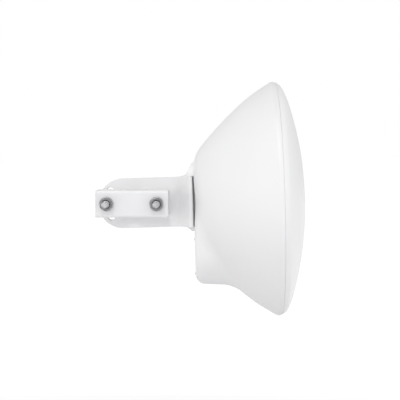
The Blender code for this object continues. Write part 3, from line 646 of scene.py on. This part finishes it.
# The arm's plan towards the dish: (x, half its thickness).
FLARE = (
    (13.0, ARM_HALF_THICKNESS), (17.5, 5.7), (22.0, 8.3), (26.0, 12.8), (29.5, 18.6),
    (32.8, 24.0), (35.2, 27.6), (37.2, 29.0), (39.0, 28.6), (ARM_FRONT, 27.4),
)


def make_arm():
    end = arc((-39.5, 0), ARM_HALF_HEIGHT, 90, 270, 64)
    side = end + [(ARM_FRONT, -ARM_HALF_HEIGHT), (ARM_FRONT, ARM_HALF_HEIGHT)]
    arm = prism("tilt_arm", side, -40, 40, HEAD)
    flare = spline(FLARE, 6)
    half = [(-70, ARM_HALF_THICKNESS)] + flare
    plan = half + [(x, -y) for x, y in reversed(half)]
    combine(arm, [prism("plan", plan, -40, 40, HEAD, "top")], "INTERSECT")
    tools = [
        prism("slot", slot_outline(4.4), -10, 10, HEAD),
        prism("pivot", arc((0, 0), 4.45, 0, 360, 48)[:-1], -10, 10, HEAD),
        block("pocket", (34.3, -24.3, -40), (45, 24.3, 40), HEAD),
    ]
    hole = [(29, 0), (29, 2.3), (38, 2.3), (38, 0)]
    for y, z in ((-10, 18), (10, 18), (-10, -18), (10, -18)):
        tools.append(turned("hole", hole, HEAD, "X", (0, y, z), 24))
    combine(arm, tools)
    soften(arm, 0.9, 3, 32)
    shade(arm, 45)
    return dress(arm, "head", ["arm"], POWDER_COAT)


def make_base():
    nose_points = [
        (43.0, 45.6), (39.7, 43.0), (36.6, 39.6), (34.6, 35.6), (32.2, 31.2), (29.8, 29.5),
        (26.0, 28.4),
    ]
    nose = spline(nose_points, 5)
    lobe = spline([(31.5, -28.2), (35.0, -30.5), (37.5, -32.9), (40.1, -33.4), (43.0, -33.5)], 5)
    side = nose + [(26.0, 27.4), (34.6, 27.4), (34.6, -28.2)] + lobe
    base = prism("dish_base", side, -30, 30, HEAD)
    face = rounded_box((-24, -33.4), (24, 46.0), (12, 12, 18, 18), 14)
    plan = [(43, 24), (34.6, 24), (26, 12), (26, -12), (34.6, -24), (43, -24)]
    tools = [
        prism("face", face, 20, 43, HEAD, "back"),
        prism("plan", plan, -50, 50, HEAD, "top"),
    ]
    combine(base, tools, "INTERSECT")
    rebates = [
        block("rebate", (37.6, hand * 15, -28.6), (44, hand * 30, 28.6), HEAD) for hand in (-1, 1)
    ]
    combine(base, rebates)
    soften(base, 0.7, 3, 32)
    azimuths = np.linspace(0, math.tau, 96, endpoint=False)
    points, faces = ring_mesh(shell_rings([bowl_point(100.0)], 60, 0.25, azimuths))
    faces.append(tuple(range(len(points) - 96, len(points))))
    combine(base, [new_object("shell", points, faces, HEAD)])
    shade(base, 50)
    return dress(base, "head", ["mount_base"], POWDER_COAT)


make_arm()
make_base()


# ---------------------------------------------------------------- pole clamp


def jaw_section():
    """The folded channel in (y, z) with fine bends, for the jaw behind the pole."""
    outer, inner, edge, half = 3.5, 0.8, 10.0, 15.0
    centre = (23.7 - outer, half - outer)
    upper_out = arc(centre, outer, 0, 90, 12)
    upper_in = arc(centre, inner, 90, 0, 6)
    top = [(edge, half), (edge, half - 2.7)]
    right = [(y, -z) for y, z in reversed(upper_out)]
    inside = [(y, -z) for y, z in reversed(upper_in)]
    return upper_out + top + upper_in + inside + [(edge, -half + 2.7), (edge, -half)] + right


NOTCH_APEX = 19.6
NOTCH_TEETH = 6


def jaw_notch():
    """The toothed V of both flanges in (x, y)."""
    angle = math.radians(60)
    along = (math.sin(angle), -math.cos(angle))
    length = (NOTCH_APEX - 10 + 2) / math.cos(angle)
    side = []
    for tooth in range(NOTCH_TEETH):
        for share, depth in ((0.0, 0.0), (0.5, 1.0)):
            reach = length * (tooth + share) / NOTCH_TEETH
            across = along[0] * reach - along[1] * depth
            side.append((across, NOTCH_APEX + along[1] * reach + along[0] * depth))
    side.append((along[0] * length, NOTCH_APEX + along[1] * length))
    return [(-x, y) for x, y in reversed(side[1:])] + side


def make_jaw(name, side, body, node):
    section = [(side * y, z) for y, z in jaw_section()]
    jaw = prism(name, section, -40, 40, WORLD, "back")
    tools = [prism("notch", [(x, side * y) for x, y in jaw_notch()], -20, 20, WORLD, "top")]
    for x in (-BOLT_X, BOLT_X):
        profile = [(side * 15, 0), (side * 15, 4.45), (side * 30, 4.45), (side * 30, 0)]
        tools.append(turned("hole", profile, WORLD, "Y", (x, 0, 0), 40))
    combine(jaw, tools)
    soften(jaw, 0.35, 2, 30)
    shade(jaw, 50)
    return dress(jaw, body, [node], JAW_COAT)


make_jaw("clamp_jaw_rear", 1, "clamp", "rear_jaw")
make_jaw("clamp_jaw_front", -1, "front_jaw", "front_jaw")


def hexagon(name, low, high, x, chamfer_low, chamfer_high):
    """A hexagon along Y, 13 mm across flats, its corners cut back by a cone at either end."""
    corner = 6.5 / math.cos(math.pi / 6)
    angles = [math.tau * i / 6 for i in range(6)]
    outline = [(x + corner * math.sin(a), corner * math.cos(a)) for a in angles]
    body = prism(name, outline, low, high, WORLD)
    clear, face = corner + 0.4, 6.1
    rise = (clear - face) * math.tan(math.radians(30))
    profile = [(low, 0), (low, face if chamfer_low else clear)]
    profile += [(low + rise, clear), (high - rise, clear)]
    profile += [(high, face if chamfer_high else clear), (high, 0)]
    cone = turned("cone", profile, WORLD, "Y", (x, 0, 0), 72)
    combine(body, [cone], "INTERSECT")
    return body


def thread(name, x, tip, end):
    """A rod along Y with an M8 thread: its radius follows the helix."""
    pitch, major, depth = 1.25, 3.98, 0.7
    rows_per_turn, around = 8, 28
    rows = int((end - tip) / pitch * rows_per_turn)
    rings = []
    for row in range(rows + 1):
        y = tip + (end - tip) * row / rows
        ring = []
        for i in range(around):
            a = math.tau * i / around
            phase = (y / pitch + a / math.tau) % 1.0
            cut = max(0.0, min(1.0, 1.35 - abs(phase - 0.5) * 3.4))
            radius = min(major - depth * cut, 3.0 + (y - tip))
            fade = max(0.0, min(1.0, (end - y) / 1.5))
            radius = major - 0.25 * (1 - fade) - (major - radius) * fade
            ring.append((x + radius * math.cos(a), y, radius * math.sin(a)))
        rings.append(ring)
    rings = [[(x, tip, 0.0)]] + rings + [[(x, end, 0.0)]]
    points, faces = ring_mesh(rings)
    return new_object(name, points, faces, WORLD)


def make_bolt(label, x):
    rod = thread(label + "_thread", x, -49.1, 20.0)
    shank_profile = [(19.0, 0), (19.0, 3.7), (20.2, 3.98), (36.6, 3.98), (36.6, 0)]
    shank = turned("shank", shank_profile, WORLD, "Y", (x, 0, 0), 48)
    head = hexagon("head", 36.2, 41.5, x, False, True)
    collar_profile = [(36.2, 0), (36.2, 6.2), (36.7, 6.2), (36.7, 0)]
    collar = turned("collar", collar_profile, WORLD, "Y", (x, 0, 0), 48)
    soften(head, 0.15, 2, 40)
    bolt = merge(label + "_bolt_m8", rod, shank, head, collar)
    shade(bolt, 38, weighted=False)
    return dress(bolt, "clamp", [label + "_bolt"], THREAD_STEEL)


def make_nut(label, x):
    nut = hexagon(label + "_hex_nut", -34.8, -28.3, x, True, True)
    profile = [
        (-35.5, 0), (-35.5, 5.0), (-34.8, 4.7), (-34.1, 4.12), (-29.0, 4.12), (-28.3, 4.7),
        (-27.6, 5.0), (-27.6, 0),
    ]
    combine(nut, [turned("bore", profile, WORLD, "Y", (x, 0, 0), 48)])
    soften(nut, 0.18, 2, 35)
    shade(nut, 45)
    return dress(nut, label + "_nut", [label + "_nut"], ZINC)


def make_washer(name, x, start, thickness, radius, body, node):
    e = 0.25
    low = start - thickness
    profile = [
        (low, 4.4 + e), (low + e, 4.4), (start - e, 4.4), (start, 4.4 + e),
        (start, radius - e), (start - e, radius), (low + e, radius), (low, radius - e),
    ]
    washer = turned(name, profile, WORLD, "Y", (x, 0, 0), 72, closed=True)
    shade(washer, 50, weighted=False)
    return dress(washer, body, [node], WASHER_ZINC)


def make_spring_washer(name, x, start, body, node):
    """A split ring whose two ends stand apart along the bolt."""
    inner, outer, thickness, rise, e = 4.45, 6.9, 1.55, 0.5, 0.2
    steps = 60
    rings = []
    for i in range(steps + 1):
        a = math.radians(95 + 350 * i / steps)
        y0 = start - rise * i / steps
        y1 = y0 - thickness
        section = [
            (inner + e, y0), (outer - e, y0), (outer, y0 - e), (outer, y1 + e),
            (outer - e, y1), (inner + e, y1), (inner, y1 + e), (inner, y0 - e),
        ]
        rings.append([(x + r * math.cos(a), y, r * math.sin(a)) for r, y in section])
    points, faces = ring_mesh(rings)
    count = len(rings[0])
    faces += [tuple(range(count)), tuple(range(len(points) - count, len(points)))]
    washer = new_object(name, points, faces, WORLD)
    shade(washer, 50, weighted=False)
    return dress(washer, body, [node], ZINC)


for label, x in (("pivot", BOLT_X), ("slot", -BOLT_X)):
    make_bolt(label, x)
    make_nut(label, x)
    make_washer(label + "_washer_far", x, 35.9, 1.6, 8.0, "clamp", label + "_bolt_washer")
    make_washer(label + "_washer_near", x, -24.0, 1.6, 8.0, "front_jaw", label + "_flat_washer")
    make_spring_washer(label + "_lock_washer", x, -25.9, "front_jaw", label + "_spring_washer")


# ---------------------------------------------------------------- port bay and door


def make_door():
    """The flap: a rounded panel with a raised border, its barrel and a grip at its lower edge."""
    edge = [(40.45, -1.0), (40.45, -0.6), (40.6, -0.2), (41.0, 0.0), (42.5, 0.0), (42.65, -0.2)]
    panel = stepped("panel", edge, (-30.6, -84.0), (30.6, -51.3), 1.2)
    recess_edge = [(39.0, 0.6), (40.4, 0.6), (40.9, 0.0)]
    recess = stepped("recess", recess_edge, (-27.0, -79.5), (27.0, -54.5), 2.5)
    combine(panel, [recess])
    barrel_side = [
        (-30.6, 0.85), (-30.6, 1.1), (-30.4, 1.3), (30.4, 1.3), (30.6, 1.1), (30.6, 0.85),
    ]
    barrel = turned("barrel", barrel_side, HEAD, "Y", (HINGE[0], 0, HINGE[1]), 32, closed=True)
    grip_side = [
        (40.7, -81.6), (40.2, -81.7), (39.5, -82.1), (39.2, -82.6), (39.3, -83.2), (39.8, -83.6),
        (40.7, -83.6),
    ]
    grip = prism("grip", grip_side, -9, 9, HEAD)
    soften(grip, 0.3, 2, 40)
    combine(panel, [grip], "UNION")
    door = merge("port_flap", panel, barrel)
    shade(door, 40)
    return dress(door, "port_door", ["port_door"], WHITE_PLASTIC)


def make_gasket():
    """The flap's rubber frame, its lip rounded where it meets the liner."""
    section = [
        (42.95, 0.0), (42.95, -2.0), (43.9, -2.0), (44.35, -1.7), (44.5, -1.0), (44.35, -0.3),
        (43.9, 0.0),
    ]
    gasket = stepped("door_gasket", section, (-29.8, -82.8), (29.8, -54.4), 2.2, closed=True)
    shade(gasket, 50)
    return dress(gasket, "port_door", ["door_seal"], RUBBER)


def make_liner():
    """The bay's moulded tray with a narrow flange, open for the socket, switch and cable."""
    inner = [(57.7, -0.8), (57.45, -0.25), (56.9, 0.0), (45.1, 0.0), (44.8, 0.3)]
    outer = [(44.8, 2.5), (45.5, 2.5), (45.5, 1.4), (58.3, 1.4), (58.9, 1.1), (59.1, 0.5)]
    liner = stepped("bay_tray", inner + outer, (-28.6, -81.6), (28.6, -55.6), 1.2)
    y, z = SWITCH
    tools = [
        block("socket_hole", (40, -8.3, -60), (65, 8.3, -50), HEAD),
        block("switch_hole", (56.5, y - 3.4, z - 3.4), (62, y + 3.4, z + 3.4), HEAD),
        prism("cable_hole", oval(8.3, 5.0), -90, -80, HEAD, "top"),
    ]
    combine(liner, tools)
    soften(liner, 0.2, 2, 50)
    shade(liner, 45)
    return dress(liner, "head", ["port_bay_liner"], DARK_PLASTIC)


def make_jack():
    """The shielded socket, open downwards, with a latch notch and two spring tabs in its back."""
    jack = block("network_socket", (47.3, -8, -58.5), (59.7, 8, -37), HEAD)
    tools = [
        block("mouth", (49.2, -5.9, -62), (57.4, 5.9, -43.5), HEAD),
        block("latch", (57.0, -3.1, -62), (58.6, 3.1, -48.0), HEAD),
        block("latch_step", (58.0, -1.6, -62), (59.1, 1.6, -48.0), HEAD),
    ]
    sides = (-4.2, 4.2)
    tools += [block("groove", (47.0, y - 1.7, -57.0), (47.65, y + 1.7, -49.5), HEAD) for y in sides]
    combine(jack, tools)
    tabs = [block("tab", (47.45, y - 1.25, -56.5), (48.0, y + 1.25, -49.3), HEAD) for y in sides]
    combine(jack, tabs, "UNION")
    soften(jack, 0.15, 2, 40)
    shade(jack, 45)
    dress(jack, "head", ["ethernet_jack"], TINPLATE)
    wire = [
        (49.3, -56.3), (49.7, -56.8), (52.3, -50.2), (52.3, -43.4), (51.9, -43.4), (51.9, -50.1),
    ]
    wires = [prism("wire", wire, 1.02 * i - 3.77, 1.02 * i - 3.37, HEAD) for i in range(8)]
    contacts = merge("socket_contacts", *wires)
    soften(contacts, 0.06, 2, 20)
    shade(contacts, 45)
    return dress(contacts, "head", ["ethernet_jack"], CONTACT_GOLD)


def make_switch():
    """The reset switch's square body and its domed button."""
    y, z = SWITCH
    sides = [(56.2, -0.25), (56.45, 0.0), (59.45, 0.0), (59.7, -0.25)]
    switch = stepped("switch_body", sides, (y - 3, z - 3), (y + 3, z + 3), 0.4)
    bore = [(50, 0), (50, 2.4), (56.2, 2.4), (56.5, 2.1), (58.7, 2.1), (58.7, 0)]
    combine(switch, [turned("bore", bore, HEAD, "X", (0, y, z), 40)])
    shade(switch, 45)
    dress(switch, "head", ["reset_switch"], DARK_PLASTIC)
    dome = [
        (54.55, 0), (54.5, 0.7), (54.4, 1.1), (54.45, 1.4), (54.7, 1.65), (55.0, 1.75),
        (57.6, 1.75), (57.6, 0),
    ]
    button = turned("reset_push_button", dome, HEAD, "X", (0, y, z), 40)
    shade(button, 45)
    return dress(button, "reset_button", ["reset_button"], BUTTON_PLASTIC)


def make_light_pipes():
    """Three clear rods with rounded ends, moulded on one bar."""
    z = LIGHT_PIPE_Z
    low, high = LIGHT_PIPES[0] - 1.6, LIGHT_PIPES[-1] + 1.6
    bar_sides = [(44.6, -0.2), (44.8, 0.0), (46.8, 0.0), (47.0, -0.2)]
    bar = stepped("light_guides", bar_sides, (low, z - 1.6), (high, z + 1.6), 0.5)
    rod = [
        (39.2, 0), (39.25, 0.5), (39.5, 0.9), (39.9, 1.15), (40.3, 1.2), (58.6, 1.2), (58.8, 1.0),
        (58.8, 0),
    ]
    combine(bar, [turned("rod", rod, HEAD, "X", (0, y, z), 32) for y in LIGHT_PIPES], "UNION")
    shade(bar, 40)
    return dress(bar, "head", ["light_pipes"], LENS)


def make_grommet():
    """The split rubber plug around the cable's way out."""
    sides = [
        (-92.9, -0.4), (-92.5, 0.0), (-81.3, 0.0), (-81.3, 0.9), (-81.1, 1.2), (-80.1, 1.2),
        (-79.8, 0.9),
    ]
    rings = [[(x, y, z) for x, y in oval(8.0 + grow, 4.7 + grow * 0.6)] for z, grow in sides]
    points, faces = ring_mesh(rings)
    count = len(rings[0])
    faces += [tuple(range(count)), tuple(range(len(points) - count, len(points)))]
    grommet = new_object("cable_plug", points, faces, HEAD)
    bore = [
        (-100, 0), (-100, 4.0), (-92.9, 4.0), (-92.4, 3.5), (-80.3, 3.5), (-79.8, 3.9), (-75, 3.9),
        (-75, 0),
    ]
    slit = block("slit", (CABLE_X - 0.3, 0, -100), (CABLE_X + 0.3, 20, -75), HEAD)
    combine(grommet, [turned("bore", bore, HEAD, "Z", (CABLE_X, 0, 0), 40), slit])
    shade(grommet, 45)
    return dress(grommet, "head", ["cable_grommet"], RUBBER)


make_door()
make_gasket()
make_liner()
make_jack()
make_switch()
make_light_pipes()
make_grommet()


# ---------------------------------------------------------------- carried-over CAD parts

CAD_FINISHES = {
    SCREW_STEEL: ["door_hinge_pin"]
    + [f"{kind}_screw_{i}" for kind in ("base", "board", "feed") for i in range(1, 5)],
    RUBBER: ["radome_seal"],
    SPUN_ALUMINIUM: ["reflector", "sub_reflector", "feed_tube"],
    CAST_ALUMINIUM: ["heat_spreader"],
    FEED_PLASTIC: ["feed_cone"],
    SOLDER_MASK: ["main_board"],
    TINPLATE: ["radio_shield"],
    PAD: ["thermal_pad"],
}
for material, names in CAD_FINISHES.items():
    for name in names:
        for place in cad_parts[name].material_slots:
            place.material = material


# ---------------------------------------------------------------- floor, light and camera


def make_floor():
    """A wide pale floor, in metres, that brightens with distance until it meets the backdrop."""
    size, height = 40.0, -0.42
    mesh = bpy.data.meshes.new("floor")
    outline = ((-size, -size), (size, -size), (size, size), (-size, size))
    corners = [(x, y, height) for x, y in outline]
    mesh.from_pydata(corners, [], [(0, 1, 2, 3)])
    floor = bpy.data.objects.new("floor", mesh)
    bpy.context.scene.collection.objects.link(floor)
    n = Nodes("pale_floor")
    place = n.add("ShaderNodeTexCoord").outputs["Object"]
    length = n.add("ShaderNodeVectorMath", (("Vector", place),), operation="LENGTH")
    distance = length.outputs["Value"]
    far = n.remap(distance, 0.5, 1.5, 0.0, 1.0)
    n.link(n.blend(far, (0.84, 0.84, 0.85, 1.0), (0.95, 0.95, 0.95, 1.0)), "Base Color")
    n.shader.inputs["Roughness"].default_value = 0.9
    n.shader.inputs["Specular IOR Level"].default_value = 0.0
    n.shader.inputs["Emission Color"].default_value = (1.0, 1.0, 1.0, 1.0)
    n.link(n.remap(distance, 0.6, 1.4, 0.0, 0.38), "Emission Strength")
    mesh.materials.append(n.material)


ROOM_GLOW = 0.22
STUDIO_GLOWS = (
    ((0.0, 1.0, 0.0), 0.31),
    ((-1.0, 0.0, 0.0), 0.64),
    ((1.0, 0.0, 0.0), 0.46),
    ((0.71, -0.71, 0.0), 0.40),
    ((0.0, -0.71, 0.71), 0.22),
)


def make_world():
    """White to the camera. To the object it is a dim room with five soft glows."""
    world = bpy.data.worlds.new("studio")
    bpy.context.scene.world = world
    world.use_nodes = True
    tree = world.node_tree
    background = tree.nodes["Background"]
    background.inputs["Color"].default_value = (1.0, 1.0, 1.0, 1.0)
    place = tree.nodes.new("ShaderNodeTexCoord")
    total = None
    for axis, glow in STUDIO_GLOWS:
        lobe = tree.nodes.new("ShaderNodeVectorMath")
        lobe.operation = "DOT_PRODUCT"
        lobe.inputs[1].default_value = axis
        tree.links.new(place.outputs["Generated"], lobe.inputs[0])
        facing = tree.nodes.new("ShaderNodeMath")
        facing.operation = "MAXIMUM"
        facing.inputs[1].default_value = 0.0
        tree.links.new(lobe.outputs["Value"], facing.inputs[0])
        level = tree.nodes.new("ShaderNodeMath")
        level.operation = "MULTIPLY_ADD"
        level.inputs[1].default_value = glow
        level.inputs[2].default_value = ROOM_GLOW
        tree.links.new(facing.outputs[0], level.inputs[0])
        if total:
            tree.links.new(total, level.inputs[2])
        total = level.outputs[0]
    tree.links.new(total, background.inputs["Strength"])
    white = tree.nodes.new("ShaderNodeBackground")
    white.inputs["Color"].default_value = (1.0, 1.0, 1.0, 1.0)
    white.inputs["Strength"].default_value = 1.0
    seen = tree.nodes.new("ShaderNodeLightPath")
    mix = tree.nodes.new("ShaderNodeMixShader")
    tree.links.new(seen.outputs["Is Camera Ray"], mix.inputs[0])
    tree.links.new(background.outputs[0], mix.inputs[1])
    tree.links.new(white.outputs[0], mix.inputs[2])
    tree.links.new(mix.outputs[0], tree.nodes["World Output"].inputs["Surface"])


LIGHT_TARGET = (0.08, 0.03, 0.0)


def area_light(name, place, size, power):
    """A round light aimed at the middle of the object. Places and sizes are in metres."""
    data = bpy.data.lights.new(name, "AREA")
    data.shape = "DISK"
    data.size = size
    data.energy = power
    light = bpy.data.objects.new(name, data)
    bpy.context.scene.collection.objects.link(light)
    light.location = place
    aim = Vector(LIGHT_TARGET) - Vector(place)
    light.rotation_euler = aim.to_track_quat("-Z", "Y").to_euler()


def make_camera():
    distance, elevation = 1.5, math.radians(2.2)
    target = Vector((0.0751, HEAD_Y * MM, 0.0024))
    data = bpy.data.cameras.new("camera")
    data.lens = 118.8
    data.sensor_width = 36.0
    data.clip_end = 100.0
    camera = bpy.data.objects.new("camera", data)
    bpy.context.scene.collection.objects.link(camera)
    away = Vector((0.0, -math.cos(elevation), math.sin(elevation)))
    camera.location = target + away * distance
    camera.rotation_euler = (-away).to_track_quat("-Z", "Y").to_euler()
    bpy.context.scene.camera = camera


make_floor()
make_world()
area_light("key", (-0.4, -2.0, 0.5), 0.5, 2.8)
area_light("top_softbox", (-0.2, -1.0, 1.6), 0.5, 7.3)
area_light("left_softbox", (-1.7, -0.65, 0.15), 0.4, 1.1)
area_light("right_softbox", (1.8, -0.6, 0.1), 0.5, 0.8)
make_camera()
bpy.context.scene.view_settings.view_transform = "Standard"
